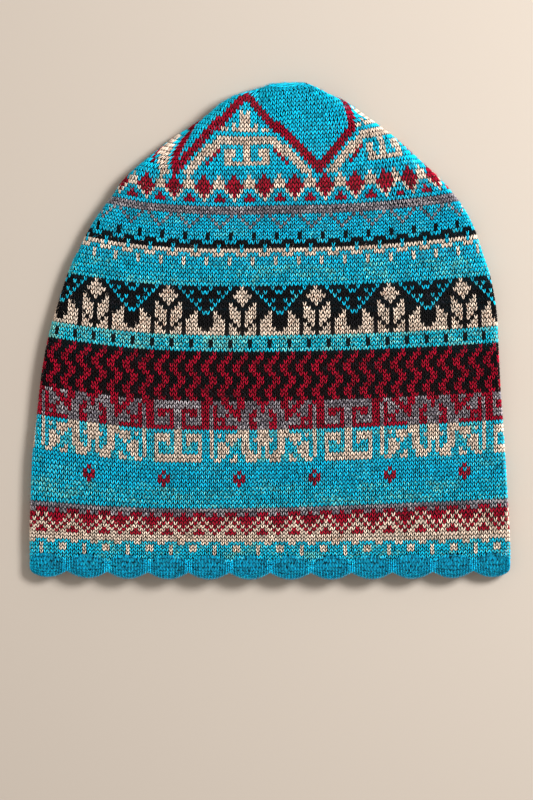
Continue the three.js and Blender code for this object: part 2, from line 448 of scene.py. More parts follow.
@dataclass
class Gauge:
    """Where courses and wales lie on the front. Heights are from the line of course 0, and places from x 0.

    Args:
        course_line: height of the line of course 0 above the edging seam.
        courses, heights: heights of some courses, and the rest lie between them.
        pitch_courses, pitches: width of a stitch at some courses.
        centre_courses, centres: x of wale 0 at some courses.
        swing_courses, left_swings, right_swings: courses by which a row swings up towards each side.
        left_places, left_shares, right_places, right_shares: share of the swing at places round a row.
        far_courses, far_swings, far_places, far_shares: the same for the swing at the far left alone.
        left_courses, left_lines, left_taken: the left dart's places from wale 0, and the wales taken out.
        right_courses, right_lines, right_taken: the same for the right dart.
    """

    course_line: float = 1.33
    courses: tuple[float, ...] = (-6, 7, 14, 65, 76, 82.5, 88, 92.5, 110, 117)
    heights: tuple[float, ...] = (-8.08, 14.2, 29.1, 133.4, 156.6, 168.2, 179.8, 190.5, 226.5, 240.9)
    pitch_courses: tuple[float, ...] = (0, 36, 58, 72, 89, 110)
    pitches: tuple[float, ...] = (1.98, 1.98, 1.95, 1.91, 1.89, 1.88)
    centre_courses: tuple[float, ...] = (0, 17, 26, 50, 58, 70, 77, 83, 88, 110)
    centres: tuple[float, ...] = (-1.0, -0.6, -0.4, -1.2, -0.9, -2.1, -1.4, -1.0, -1.9, -2.6)
    swing_courses: tuple[float, ...] = (0, 7, 20, 50, 66, 90, 100, 112)
    left_swings: tuple[float, ...] = (0, -0.4, -0.3, -0.2, -0.7, -1.5, -1.7, 0)
    right_swings: tuple[float, ...] = (0, 1.0, 1.0, 0.5, 0.5, 0.5, 0.5, 0)
    left_places: tuple[float, ...] = (-220, -120, -60, 0)
    left_shares: tuple[float, ...] = (0, 1.3, 1, 0)
    right_places: tuple[float, ...] = (0, 75, 120, 220)
    right_shares: tuple[float, ...] = (0, 1, 1.2, 0)
    far_courses: tuple[float, ...] = (7, 20, 35, 50, 66)
    far_swings: tuple[float, ...] = (0, 1.5, 1.3, 0.5, 0)
    far_places: tuple[float, ...] = (-220, -120, -60)
    far_shares: tuple[float, ...] = (0, 1, 0)
    left_courses: tuple[float, ...] = (93, 95, 97, 100, 102, 104, 108, 113)
    left_lines: tuple[float, ...] = (-46.5, -45, -43.3, -40.8, -39, -37.5, -32, -8)
    left_taken: tuple[float, ...] = (0, 1.7, 4.1, 8.4, 11, 13.7, 19, 26)
    right_courses: tuple[float, ...] = (84, 90, 96, 100, 103, 106, 109, 112)
    right_lines: tuple[float, ...] = (69, 63, 54, 47.5, 42.5, 41.5, 40.5, 39.5)
    right_taken: tuple[float, ...] = (0, 1.5, 1.7, 1.8, 2, 5, 8.5, 12)

    def height(self, course: np.ndarray) -> np.ndarray:
        """Height of a course above the edging seam."""
        return np.interp(course, self.courses, self.heights) + self.course_line

    def pitch(self, course: np.ndarray) -> np.ndarray:
        """Width of a stitch of a course."""
        return np.interp(course, self.pitch_courses, self.pitches)

    def centre(self, course: np.ndarray) -> np.ndarray:
        """The x of wale 0 at a course."""
        return np.interp(course, self.centre_courses, self.centres)

    def swing(self, course: np.ndarray, along: np.ndarray) -> np.ndarray:
        """Courses by which the rows of the laid hat swing up, against the form's own rows.

        Args:
            course: course, as a real number.
            along: distance round the course from its wale 0.

        Returns:
            the courses to add there.
        """
        left = np.interp(course, self.swing_courses, self.left_swings)
        right = np.interp(course, self.swing_courses, self.right_swings)
        far = np.interp(course, self.far_courses, self.far_swings)
        left_share = np.interp(along, self.left_places, self.left_shares)
        right_share = np.interp(along, self.right_places, self.right_shares)
        far_share = np.interp(along, self.far_places, self.far_shares)
        return left * left_share + right * right_share + far * far_share

    def along(self, course: np.ndarray, wale: np.ndarray, side: np.ndarray) -> np.ndarray:
        """Distance round a course from its wale 0.

        Args:
            course: course, as a real number.
            wale: wale, as a real number.
            side: -1 left of the left dart, 1 right of the right one, 0 between them.

        Returns:
            the distance, positive to the right.
        """
        left = np.interp(course, self.left_courses, self.left_taken)
        right = np.interp(course, self.right_courses, self.right_taken)
        moved = wale + np.where(side < 0, left, 0) - np.where(side > 0, right, 0)
        return moved * self.pitch(course)

    def darts(self, course: float) -> tuple[float, float]:
        """Places of the two dart lines at a course, or far away where there is none yet."""
        left = np.interp(course, self.left_courses, self.left_lines, left=-FAR_AWAY)
        right = np.interp(course, self.right_courses, self.right_lines, left=FAR_AWAY)
        return float(left), float(right)


@dataclass
class HatForm:
    """The outer surface of the body, as a grid over courses and the distance round them."""

    gauge: Gauge
    half_brim: float = 120.5
    body_length: float = 236.0
    crown_height: float = 24.0
    fold_radius: float = 5.5
    edging_depth: float = 12.6
    side_fullness: float = 2.8
    lift_power: float = 2.5
    back_lift: float = 0.5
    fold_share: float = 0.45
    tip_share: float = 0.9
    folds_from: float = -0.2
    folds_full: float = 0.35
    first_course: float = -5.0
    last_course: float = 117.0
    course_step: float = 0.5
    round_step: float = 0.5
    round_reach: float = 270.0
    ring_steps: int = 960
    tip_rise: float = 0.7
    tip_courses: tuple[float, float] = (112.5, 115.5)
    tip_closed: float = 0.995
    curve_steps: int = 2000
    rest_lift: float = 0.3
    points: np.ndarray = field(init=False)
    normals: np.ndarray = field(init=False)
    ends: np.ndarray = field(init=False)

    def __post_init__(self) -> None:
        """Works the grid out."""
        edging = [np.array(corner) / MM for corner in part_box("scalloped_edging")]
        first = FORM[0]
        middle = (first.right - first.left) / 2 * self.half_brim
        across = (edging[0][0] + edging[1][0]) / 2 - middle
        self.shift = np.array([across, edging[0][1] + self.edging_depth, 0.0])
        self.course_grid = np.arange(self.first_course, self.last_course + 0.01, self.course_step)
        self.round_grid = np.arange(-self.round_reach, self.round_reach + 0.01, self.round_step)
        self.points, self.ends = self._rings()
        self.normals = self._normals_of(self.points)
        lean = smoothstep(self.normals[..., 2], self.folds_from, self.folds_full)
        self.points = self.points + self.normals * (self._fold_rise(self.points) * lean)[..., None]
        self.normals = self._normals_of(self.points)
        crowning = smoothstep(self.course_grid, *self.tip_courses)[:, None, None]
        self.normals = unit(self.normals * (1 - crowning) + np.array([0.0, 1.0, 0.0]) * crowning)
        self.points = self.points + self.shift
        self.points[..., 2] = np.maximum(self.points[..., 2], self.rest_lift)

    def _table(self, up: np.ndarray) -> dict[str, np.ndarray]:
        """The form's columns at some heights.

        Args:
            up: the heights, as shares of the length.

        Returns:
            each column by its name, on a smooth curve through the form's rows.
        """
        rows = np.array([[getattr(row, name) for name in Course.__dataclass_fields__] for row in FORM])

        def at(place: np.ndarray) -> np.ndarray:
            """The columns at places counted in rows, on a cubic curve through the four rows around each."""
            row = np.clip(np.floor(place).astype(int), 0, len(rows) - 2)
            t = (place - row)[:, None]
            before = rows[np.maximum(row - 1, 0)]
            start = rows[row]
            end = rows[row + 1]
            after = rows[np.minimum(row + 2, len(rows) - 1)]
            leaving = (end - before) / 2
            arriving = (after - start) / 2
            change = end - start
            square = 3 * change - 2 * leaving - arriving
            cube = leaving + arriving - 2 * change
            return start + leaving * t + square * t * t + cube * t**3

        fine = np.linspace(0, len(rows) - 1, self.curve_steps)
        place = np.interp(up, at(fine)[:, 0], fine)
        found = at(place)
        return {name: found[:, i] for i, name in enumerate(Course.__dataclass_fields__)}

    def _rings(self) -> tuple[np.ndarray, np.ndarray]:
        """Works out the ring of every course.

        Returns:
            its points at even distances from its wale 0, and how far it reaches each way.
        """
        up = self.gauge.height(self.course_grid) / self.body_length
        row = self._table(up)
        last_up = FORM[-1].up
        closing = np.clip((up - last_up) / (up[-1] - last_up), 0, 1)
        shrink = np.sqrt(1 - closing**2 * self.tip_closed)
        y = np.minimum(up, last_up) * self.body_length + self.tip_rise * (1 - shrink)
        left = -row["left"] * self.half_brim
        right = row["right"] * self.half_brim
        half = (right - left) / 2
        low = np.maximum(row["low"], 0) * self.crown_height
        high = row["high"] * self.crown_height
        widest = np.minimum(self.fold_radius, (high - low) * self.fold_share)
        radius = np.minimum(widest, half * self.tip_share)
        turn = np.linspace(0, 2 * np.pi, self.ring_steps + 1)
        across = np.sin(turn)
        share = np.minimum(np.abs(across), 1)
        front = np.cos(turn) < 0
        turn_up = share**self.lift_power
        side = low + radius
        rings = np.empty((len(up), len(self.round_grid), 3))
        ends = np.empty((len(up), 2))
        centres = self.gauge.centre(self.course_grid) - self.shift[0]
        for i in range(len(up)):
            lift = np.where(across < 0, row["lift_left"][i], row["lift_right"][i]) * self.body_length
            over = side[i] + (high[i] - side[i]) * np.sqrt(1 - share**self.side_fullness)
            past = np.maximum(0, share * half[i] - (half[i] - radius[i])) / radius[i]
            under = side[i] - radius[i] * np.sqrt(np.maximum(0, 1 - past * past))
            x = (left[i] + right[i]) / 2 + across * half[i]
            z = np.where(front, over, under)
            up_there = np.where(front, turn_up, 1 + self.back_lift * (1 - turn_up))
            ring = np.stack([x, y[i] + lift * up_there, z], 1)
            middle = ring.mean(0)
            ring = middle + (ring - middle) * [shrink[i], 1, shrink[i]]
            measured = np.concatenate([[0], np.cumsum(np.linalg.norm(np.diff(ring, axis=0), axis=1))])
            fronts = np.nonzero(front)[0]
            wanted = np.clip(centres[i], ring[fronts, 0].min(), ring[fronts, 0].max())
            zero = np.interp(wanted, ring[fronts, 0][::-1], measured[fronts][::-1])
            places = zero - self.round_grid
            for axis in range(3):
                rings[i, :, axis] = np.interp(places, measured, ring[:, axis], period=measured[-1])
            ends[i] = zero - measured[-1], zero
        return rings, ends

    def _normals_of(self, points: np.ndarray) -> np.ndarray:
        """The outward normals of a grid of points over courses and the distance round them."""
        round_way = np.gradient(points, axis=1)
        up_way = np.gradient(points, axis=0)
        return unit(np.cross(round_way, up_way))

    def _fold_rise(self, points: np.ndarray) -> np.ndarray:
        """How far the folds raise or sink the front.

        Args:
            points: the grid's points, before it is moved to its place.

        Returns:
            the rise at each point, below 0 where it sinks.
        """
        rise = np.zeros(points.shape[:2])
        scale = np.array([self.half_brim, self.body_length])
        for fold in FOLDS:
            start = np.array([fold.x1, fold.y1]) * scale
            line = np.array([fold.x2, fold.y2]) * scale - start
            place = points[..., :2] - start
            along = np.clip(place @ line / (line @ line), 0, 1)
            away = np.linalg.norm(place - along[..., None] * line, axis=-1) / (fold.reach * self.body_length)
            rise += fold.rise * self.crown_height * np.exp(-away * away)
        return rise

    def at(self, course: np.ndarray, along: np.ndarray) -> tuple[np.ndarray, np.ndarray]:
        """Points and outward normals of the surface.

        Args:
            course: courses, as real numbers.
            along: distances round them from wale 0.

        Returns:
            the points and the normals there.
        """
        i = np.clip((course - self.first_course) / self.course_step, 0, len(self.course_grid) - 1.001)
        j = np.clip((along + self.round_reach) / self.round_step, 0, len(self.round_grid) - 1.001)
        i0 = i.astype(int)
        j0 = j.astype(int)
        u = (i - i0)[..., None]
        v = (j - j0)[..., None]
        found = []
        for grid in (self.points, self.normals):
            low = grid[i0, j0] * (1 - v) + grid[i0, j0 + 1] * v
            high = grid[i0 + 1, j0] * (1 - v) + grid[i0 + 1, j0 + 1] * v
            found.append(low * (1 - u) + high * u)
        return found[0], unit(found[1])

    def reach(self, course: np.ndarray) -> tuple[np.ndarray, np.ndarray]:
        """How far a course reaches to the back centre by its left and by its right fold."""
        return (
            np.interp(course, self.course_grid, self.ends[:, 0]),
            np.interp(course, self.course_grid, self.ends[:, 1]),
        )


@dataclass
class Strands:
    """Many short yarn legs, joined in one mesh. Each is a closed spindle of three sides.

    Args:
        name: name of the piece.
    """

    name: str
    sides: int = 3
    cell_margin: float = 0.08
    spines: list[np.ndarray] = field(default_factory=list)
    outs: list[np.ndarray] = field(default_factory=list)
    radii: list[np.ndarray] = field(default_factory=list)
    slots: list[np.ndarray] = field(default_factory=list)
    tones: list[np.ndarray] = field(default_factory=list)

    def add(
        self, spine: np.ndarray, out: np.ndarray, radius: np.ndarray, slot: np.ndarray, tone: np.ndarray
    ) -> None:
        """Adds legs.

        Args:
            spine: four points along each leg.
            out: the outward direction at each point.
            radius: half the thickness at its two middle points.
            slot: each leg's material slot.
            tone: each leg's share of its yarn's colour.
        """
        self.spines.append(spine)
        self.outs.append(out)
        self.radii.append(np.broadcast_to(radius, (len(spine), 2)))
        self.slots.append(slot)
        self.tones.append(tone)

    def build(self, materials: list[bpy.types.Material]) -> bpy.types.Object:
        """Makes the mesh object of all the legs.

        Args:
            materials: the materials of the slots.

        Returns:
            the new object.
        """
        spine = np.concatenate(self.spines)
        out = np.concatenate(self.outs)
        radius = np.concatenate(self.radii)
        slot = np.concatenate(self.slots)
        tone = np.concatenate(self.tones)
        count = len(spine)
        n = self.sides
        tangent = unit(spine[:, 2:] - spine[:, :2])
        across = unit(np.cross(tangent, out[:, 1:3]))
        outward = np.cross(across, tangent)
        angles = np.pi / 2 + 2 * np.pi * np.arange(n) / n
        rings = (
            spine[:, 1:3, None]
            + radius[:, :, None, None]
            * (
                np.cos(angles)[None, None, :, None] * across[:, :, None]
                + np.sin(angles)[None, None, :, None] * outward[:, :, None]
            )
        )
        verts = np.concatenate([spine[:, :1], rings.reshape(count, 2 * n, 3), spine[:, 3:]], axis=1)
        verts[..., 2] = np.maximum(verts[..., 2], 0)
        per = 2 * n + 2
        k = np.arange(n)
        nxt = (k + 1) % n
        starts = np.stack([np.zeros(n, int), 1 + nxt, 1 + k], 1)
        quads = np.stack([1 + k, 1 + nxt, 1 + n + nxt, 1 + n + k], 1)
        ends = np.stack([1 + n + k, 1 + n + nxt, np.full(n, per - 1)], 1)
        loops = np.concatenate([starts.ravel(), quads.ravel(), ends.ravel()])
        sizes = np.array([3] * n + [4] * n + [3] * n)
        base = np.arange(count)[:, None] * per
        all_loops = (base + loops).ravel()
        all_sizes = np.tile(sizes, count)
        mesh = bpy.data.meshes.new(self.name)
        mesh.vertices.add(count * per)
        mesh.vertices.foreach_set("co", (verts * MM).astype(np.float32).ravel())
        mesh.loops.add(len(all_loops))
        mesh.loops.foreach_set("vertex_index", all_loops.astype(np.int32))
        mesh.polygons.add(len(all_sizes))
        mesh.polygons.foreach_set("loop_start", (np.cumsum(all_sizes) - all_sizes).astype(np.int32))
        mesh.polygons.foreach_set("material_index", np.repeat(slot, len(sizes)).astype(np.int32))
        self._map(mesh, count)
        attribute = mesh.attributes.new("tone", "FLOAT", "POINT")
        attribute.data.foreach_set("value", np.repeat(tone, per).astype(np.float32))
        mesh.update(calc_edges=True)
        mesh.shade_smooth()
        piece = bpy.data.objects.new(self.name, mesh)
        bpy.context.scene.collection.objects.link(piece)
        for material in materials:
            mesh.materials.append(material)
        return piece

    def _map(self, mesh: bpy.types.Mesh, count: int) -> None:
        """Gives each leg a cell of its own on the map, with u round the yarn and v along it.

        Args:
            mesh: the mesh of the legs.
            count: how many legs it has.
        """
        side = np.arange(self.sides)

        def corners(*places: tuple[float, float]) -> np.ndarray:
            """The corners of one face on every side, from shares across the side and along the leg."""
            made = [np.stack([(side + u) / self.sides, side * 0 + v], 1) for u, v in places]
            return np.stack(made, 1).reshape(-1, 2)

        low = 1 / 3
        high = 2 * low
        start = corners((0.5, 0.0), (1, low), (0, low))
        middle = corners((0, low), (1, low), (1, high), (0, high))
        end = corners((0, high), (1, high), (0.5, 1.0))
        inside = np.concatenate([start, middle, end])
        across = math.ceil(math.sqrt(count))
        cell = np.stack([np.arange(count) % across, np.arange(count) // across], 1)
        inset = self.cell_margin + inside * (1 - 2 * self.cell_margin)
        uv = (cell[:, None] + inset[None]) / across
        mesh.uv_layers.new(name="OFBake")
        mesh.uv_layers["OFBake"].data.foreach_set("uv", uv.astype(np.float32).ravel())
        strand = np.tile(inside, (count, 1))
        mesh.uv_layers.new(name="Strand")
        mesh.uv_layers["Strand"].data.foreach_set("uv", strand.astype(np.float32).ravel())


def linear(colour: tuple[int, int, int]) -> tuple[float, float, float, float]:
    """A colour of 0 to 255 as Blender's linear numbers."""
    parts = [c / 255 for c in colour]
    return (*(p / 12.92 if p <= 0.04045 else ((p + 0.055) / 1.055) ** 2.4 for p in parts), 1.0)


NodeValue = bpy.types.NodeSocket | float | tuple[float, ...]


@dataclass
class Bench:
    """Adds nodes to one tree. A value that is a socket is linked, and any other is set."""

    tree: bpy.types.NodeTree

    def put(self, socket: bpy.types.NodeSocket, value: NodeValue) -> None:
        """Links a value into a socket, or sets it there."""
        if isinstance(value, bpy.types.NodeSocket):
            self.tree.links.new(value, socket)
        else:
            socket.default_value = value

    def add(self, kind: str, values: dict[str | int, NodeValue] | None = None) -> bpy.types.Node:
        """Adds a node.

        Args:
            kind: its type, without the words that the type of every shader node starts with.
            values: what goes into its sockets, by their name or place.

        Returns:
            the new node.
        """
        node = self.tree.nodes.new("ShaderNode" + kind)
        for socket, value in (values or {}).items():
            self.put(node.inputs[socket], value)
        return node

    def math(self, operation: str, *values: NodeValue, clamped: bool = False) -> bpy.types.NodeSocket:
        """Adds a math node.

        Args:
            operation: what it does.
            values: what goes into it, in order.
            clamped: whether its result is kept between 0 and 1.

        Returns:
            its result.
        """
        node = self.add("Math", dict(enumerate(values)))
        node.operation = operation
        node.use_clamp = clamped
        return node.outputs[0]

    def spread(
        self, value: NodeValue, source: tuple[float, float], target: tuple[float, float]
    ) -> bpy.types.NodeSocket:
        """A value moved from one range to another."""
        ends = {"From Min": source[0], "From Max": source[1], "To Min": target[0], "To Max": target[1]}
        return self.add("MapRange", {"Value": value, **ends}).outputs[0]

    def toned(self, colour: bpy.types.NodeSocket, share: bpy.types.NodeSocket) -> bpy.types.NodeSocket:
        """A colour times a share."""
        node = self.add("VectorMath")
        node.operation = "SCALE"
        self.put(node.inputs[0], colour)
        self.put(node.inputs["Scale"], share)
        return node.outputs[0]


@dataclass
class Workshop:
    """The materials and the node groups that they share.

    Args:
        fleck_scale, fleck_detail, fleck_edge: the noise of the flecks, and how sharp their edges are.
        bare_level, share_fall: the level that a fleck has to pass, and its change with the yarn's share.
        patch_scale, patch_detail, patch_strength, patch_stretch: the slow change of the flecks.
        fibre_scale, fibre_detail, twist_turns, ply_height: the fibres, and the plies wound round a leg.
        groove_heights, groove_shade_and_highlight: the painted shade between the plies and the painted
        highlight on them, by the plies' height.
        tucked_reach, tucked_end_shade, middle_highlight: the painted shade at a leg's ends, where it tucks
        into the fabric, and the painted highlight at its middle.
        sheen_roughness, gloss, bump_strength, bump_distance: the same for every yarn.
        ground_roughness, ground_gloss, float_scale, float_stretch: the wall and the yarns carried over it.
        float_levels, float_tones, float_bump: their light and shade, and their height in metres.
    """

    fleck_scale: float = 900.0
    fleck_detail: float = 2.0
    fleck_edge: float = 9.0
    bare_level: float = 0.66
    share_fall: float = -0.36
    patch_scale: float = 150.0
    patch_detail: float = 1.0
    patch_strength: float = 0.45
    patch_stretch: tuple[float, float, float] = (0.45, 1.0, 1.0)
    fibre_scale: float = 5200.0
    fibre_detail: float = 3.0
    twist_turns: float = 2.0
    ply_height: float = 0.35
    groove_heights: tuple[float, float] = (-0.2, 1.0)
    groove_shade_and_highlight: tuple[float, float] = (0.8, 1.12)
    tucked_reach: tuple[float, float] = (0.08, 0.4)
    tucked_end_shade: float = 0.25
    middle_highlight: float = 1.2
    sheen_roughness: float = 0.5
    gloss: float = 0.15
    bump_strength: float = 0.6
    bump_distance: float = 0.00012
    ground_roughness: float = 0.95
    ground_gloss: float = 0.1
    float_scale: float = 1400.0
    float_stretch: tuple[float, float, float] = (0.35, 1.0, 1.0)
    float_levels: tuple[float, float] = (0.3, 0.7)
    float_tones: tuple[float, float] = (0.6, 1.3)
    float_bump: float = 0.0003

    def __post_init__(self) -> None:
        """Builds the shared groups."""
        self.spun = self._spun_yarn()

    def _spun_yarn(self) -> bpy.types.NodeTree:
        """Builds the group that spins a yarn from its colour, its fleck and the fleck's share.

        Returns:
            the group, which gives the colour with flecks and random tone, painted shade in the grooves
            between the plies and at the legs' tucked ends, painted highlight on the plies and the legs'
            middles, and the height of the plies.
        """
        group = bpy.data.node_groups.new("spun yarn", "ShaderNodeTree")
        for name, kind in (("Colour", "Color"), ("Fleck", "Color"), ("Share", "Float")):
            group.interface.new_socket(name=name, in_out="INPUT", socket_type="NodeSocket" + kind)
        for name, kind in (("Colour", "Color"), ("Height", "Float")):
            group.interface.new_socket(name=name, in_out="OUTPUT", socket_type="NodeSocket" + kind)
        bench = Bench(group)
        given = group.nodes.new("NodeGroupInput")
        result = group.nodes.new("NodeGroupOutput")
        place = bench.add("TexCoord").outputs["Object"]
        fleck_noise = {"Vector": place, "Scale": self.fleck_scale, "Detail": self.fleck_detail}
        flecks = bench.add("TexNoise", fleck_noise).outputs["Fac"]
        lengthwise = bench.add("Mapping", {"Scale": self.patch_stretch, "Vector": place}).outputs[0]
        patch_noise = {"Vector": lengthwise, "Scale": self.patch_scale, "Detail": self.patch_detail}
        patches = bench.add("TexNoise", patch_noise).outputs["Fac"]
        highest = self.bare_level + self.patch_strength / 2
        level = bench.math("MULTIPLY_ADD", given.outputs["Share"], self.share_fall, highest)
        patched = bench.math("MULTIPLY_ADD", patches, self.patch_strength, flecks)
        over = bench.math("SUBTRACT", patched, level)
        shown = bench.math("MULTIPLY", over, self.fleck_edge, clamped=True)
        mixed = bench.add("Mix")
        mixed.data_type = "RGBA"
        bench.put(mixed.inputs["Factor"], shown)
        bench.put(mixed.inputs[6], given.outputs["Colour"])
        bench.put(mixed.inputs[7], given.outputs["Fleck"])
        strand = bench.add("UVMap")
        strand.uv_map = "Strand"
        parts = bench.add("SeparateXYZ", {0: strand.outputs["UV"]})
        round_leg = parts.outputs["X"]
        along_leg = parts.outputs["Y"]
        wound = bench.math("MULTIPLY_ADD", along_leg, self.twist_turns, round_leg)
        plies = bench.math("SINE", bench.math("MULTIPLY", wound, 2 * math.pi))
        fibre_noise = {"Vector": place, "Scale": self.fibre_scale, "Detail": self.fibre_detail}
        fibre = bench.add("TexNoise", fibre_noise).outputs["Fac"]
        height = bench.math("MULTIPLY_ADD", plies, self.ply_height, fibre)
        bench.put(result.inputs["Height"], height)
        tone = bench.add("Attribute")
        tone.attribute_name = "tone"
        # Painted shade in the grooves between the plies and painted highlight on their tops.
        groove = bench.spread(height, self.groove_heights, self.groove_shade_and_highlight)
        # Painted shade at a leg's ends, where it tucks into the fabric, and painted highlight at its middle.
        from_end = bench.math("PINGPONG", along_leg, 0.5)
        tucked = bench.spread(from_end, self.tucked_reach, (self.tucked_end_shade, self.middle_highlight))
        toned_end = bench.math("MULTIPLY", tone.outputs["Fac"], tucked)
        shade = bench.math("MULTIPLY", toned_end, groove)
        bench.put(result.inputs["Colour"], bench.toned(mixed.outputs[2], shade))
        return group

    def body_yarns(self) -> list[bpy.types.Material]:
        """New materials of the body's yarns, in the order of their slots."""
        return [self.yarn(FINISHES[yarn]) for yarn in Yarn if yarn is not Yarn.EDGING]

    def yarn(self, finish: Finish) -> bpy.types.Material:
        """The material of one yarn.

        Args:
            finish: how the yarn looks.

        Returns:
            the new material.
        """
        material = bpy.data.materials.new(finish.name)
        material.use_nodes = True
        bench = Bench(material.node_tree)
        shader = material.node_tree.nodes["Principled BSDF"]
        shader.inputs["Roughness"].default_value = finish.roughness
        shader.inputs["Sheen Weight"].default_value = finish.sheen
        shader.inputs["Sheen Roughness"].default_value = self.sheen_roughness
        shader.inputs["Specular IOR Level"].default_value = self.gloss
        spun = bench.add("Group")
        spun.node_tree = self.spun
        spun.inputs["Colour"].default_value = linear(finish.colour)
        spun.inputs["Fleck"].default_value = linear(finish.fleck)
        spun.inputs["Share"].default_value = finish.fleck_share
        bench.put(shader.inputs["Base Color"], spun.outputs["Colour"])
        relief = {"Strength": self.bump_strength, "Distance": self.bump_distance}
        bump = bench.add("Bump", {**relief, "Height": spun.outputs["Height"]})
        bench.put(shader.inputs["Normal"], bump.outputs["Normal"])
        return material

    def ground(self, name: str, light: float) -> bpy.types.Material:
        """The material of the wall under the stitches, where the carried yarns lie side by side. At a small
        share of the yarn's colour it is painted shade in the gaps between the stitches.

        Args:
            name: name of the material.
            light: share of the yarn's own colour that it shows; a small share makes it painted shade.

        Returns:
            the new material.
        """
        material = bpy.data.materials.new(name)
        material.use_nodes = True
        bench = Bench(material.node_tree)
        shader = material.node_tree.nodes["Principled BSDF"]
        shader.inputs["Roughness"].default_value = self.ground_roughness
        shader.inputs["Specular IOR Level"].default_value = self.ground_gloss
        dyed = bench.add("Attribute")
        dyed.attribute_name = "ground"
        place = bench.add("TexCoord").outputs["Object"]
        stretched = bench.add("Mapping", {"Scale": self.float_stretch, "Vector": place}).outputs[0]
        floats = bench.add("TexNoise", {"Scale": self.float_scale, "Vector": stretched}).outputs["Fac"]
        darkest, palest = self.float_tones
        shade = bench.spread(floats, self.float_levels, (darkest * light, palest * light))
        bench.put(shader.inputs["Base Color"], bench.toned(dyed.outputs["Color"], shade))
        bump = bench.add("Bump", {"Distance": self.float_bump, "Height": floats})
        bench.put(shader.inputs["Normal"], bump.outputs["Normal"])
        return material


def deselect_all() -> None:
    """Leaves nothing selected."""
    if bpy.context.object and bpy.context.object.mode != "OBJECT":
        bpy.ops.object.mode_set(mode="OBJECT")
    bpy.ops.object.select_all(action="DESELECT")


def shaped_grid(name: str, points: np.ndarray) -> bpy.types.Object:
    """A grid of faces laid on points.

    Args:
        name: name of the object.
        points: rows of points, in millimetres.

    Returns:
        the new object, at the origin.
    """
    rows, columns = points.shape[:2]
    deselect_all()
    bpy.ops.mesh.primitive_grid_add(
        x_subdivisions=columns - 1, y_subdivisions=rows - 1, size=2, location=(0, 0, 0)
    )
    piece = bpy.context.object
    piece.name = name
    piece.data.name = name
    flat = np.empty(rows * columns * 3, np.float32)
    piece.data.vertices.foreach_get("co", flat)
    flat = flat.reshape(-1, 3)
    row = np.rint((flat[:, 1] + 1) / 2 * (rows - 1)).astype(int)
    column = np.rint((flat[:, 0] + 1) / 2 * (columns - 1)).astype(int)
    piece.data.vertices.foreach_set("co", (points[row, column] * MM).astype(np.float32).ravel())
    piece.data.update()
    return piece


def apply_modifiers(piece: bpy.types.Object) -> None:
    """Applies every modifier of a piece, in order."""
    deselect_all()
    piece.select_set(True)
    bpy.context.view_layer.objects.active = piece
    for modifier in list(piece.modifiers):
        bpy.ops.object.modifier_apply(modifier=modifier.name)


def ring_closed(points: np.ndarray, axis: int) -> np.ndarray:
    """The grid of points with its first line repeated at its end, so that it meets itself."""
    return np.concatenate([points, np.take(points, [0], axis)], axis)


def merge_doubles(piece: bpy.types.Object, gap: float = 0.00001) -> None:
    """Merges the points of a grid that lie on each other, which closes a ring or a pole."""
    deselect_all()
    piece.select_set(True)
    bpy.context.view_layer.objects.active = piece
    bpy.ops.object.mode_set(mode="EDIT")
    bpy.ops.mesh.select_all(action="SELECT")
    bpy.ops.mesh.remove_doubles(threshold=gap)
    bpy.ops.object.mode_set(mode="OBJECT")


def rest_on_table(piece: bpy.types.Object) -> None:
    """Lifts every point of a piece that lies below the table top onto it."""
    places = np.empty(len(piece.data.vertices) * 3, np.float32)
    piece.data.vertices.foreach_get("co", places)
    places[2::3] = np.maximum(places[2::3], 0)
    piece.data.vertices.foreach_set("co", places)
    piece.data.update()


